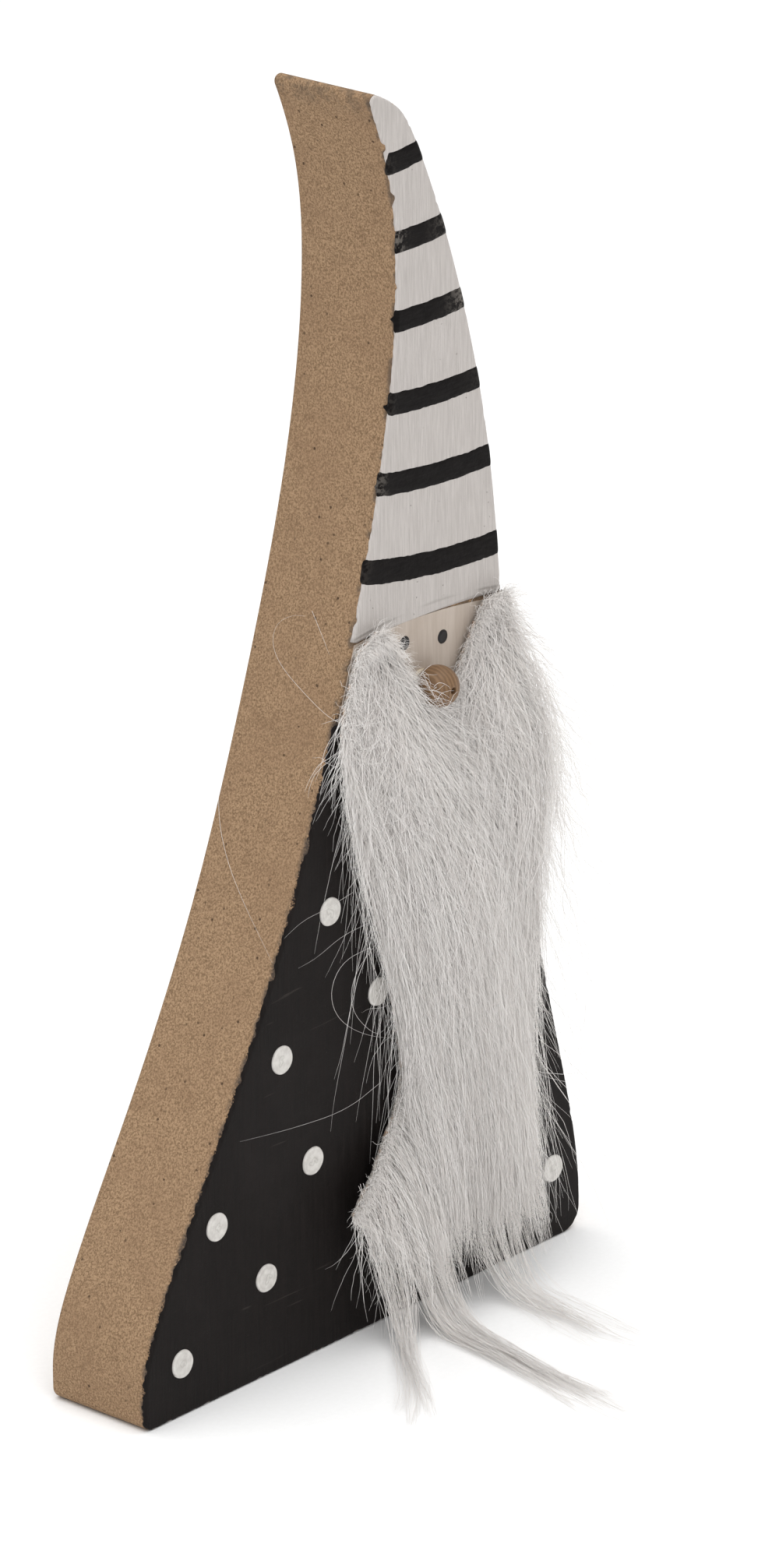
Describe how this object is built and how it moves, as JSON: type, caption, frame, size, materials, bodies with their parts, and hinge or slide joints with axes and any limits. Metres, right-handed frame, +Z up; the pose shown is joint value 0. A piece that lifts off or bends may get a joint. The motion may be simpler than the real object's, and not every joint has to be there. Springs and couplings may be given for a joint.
{
  "type": "gnome figurine",
  "caption": "Free-standing silhouette-board gnome with a tall leaning striped hat, a bead nose, a dotted coat and a long fur beard that lies forwards on the table.",
  "frame": {"origin": "centre of the board's flat bottom face, on the table", "axes": "+Z up, the painted front faces -Y, +X to the right of someone looking at the front"},
  "size_m": [0.1314, 0.0905, 0.2546],
  "materials": {
    "mdf": "bare sawn fibreboard, fine speckle, matt",
    "coat_black": "satin black brushed paint",
    "hat_white": "matt white brushed paint with fine vertical grain",
    "face_beige": "matt beige paint",
    "band_black": "satin black printed bands",
    "dot_white": "thick stamped white paint drops",
    "eye_black": "stamped black paint drops",
    "bead_wood": "brown stained turned wood, satin",
    "glue": "clear hot-melt glue, slightly milky",
    "fur_cloth": "off-white knitted fur backing cloth",
    "fur_pile": "long off-white synthetic pile with a soft sheen"
  },
  "bodies": {
    "root": {"board": "mdf", "coat_paint": "coat_black", "hat_paint": "hat_white", "face_paint": "face_beige", "hat_stripes": "band_black", "coat_dots": "dot_white", "eyes": "eye_black", "nose_bead": "bead_wood", "nose_glue": "glue", "beard_glue": "glue", "beard_backing": "fur_cloth", "beard_pile": "fur_pile"}
  },
  "joints": []
}
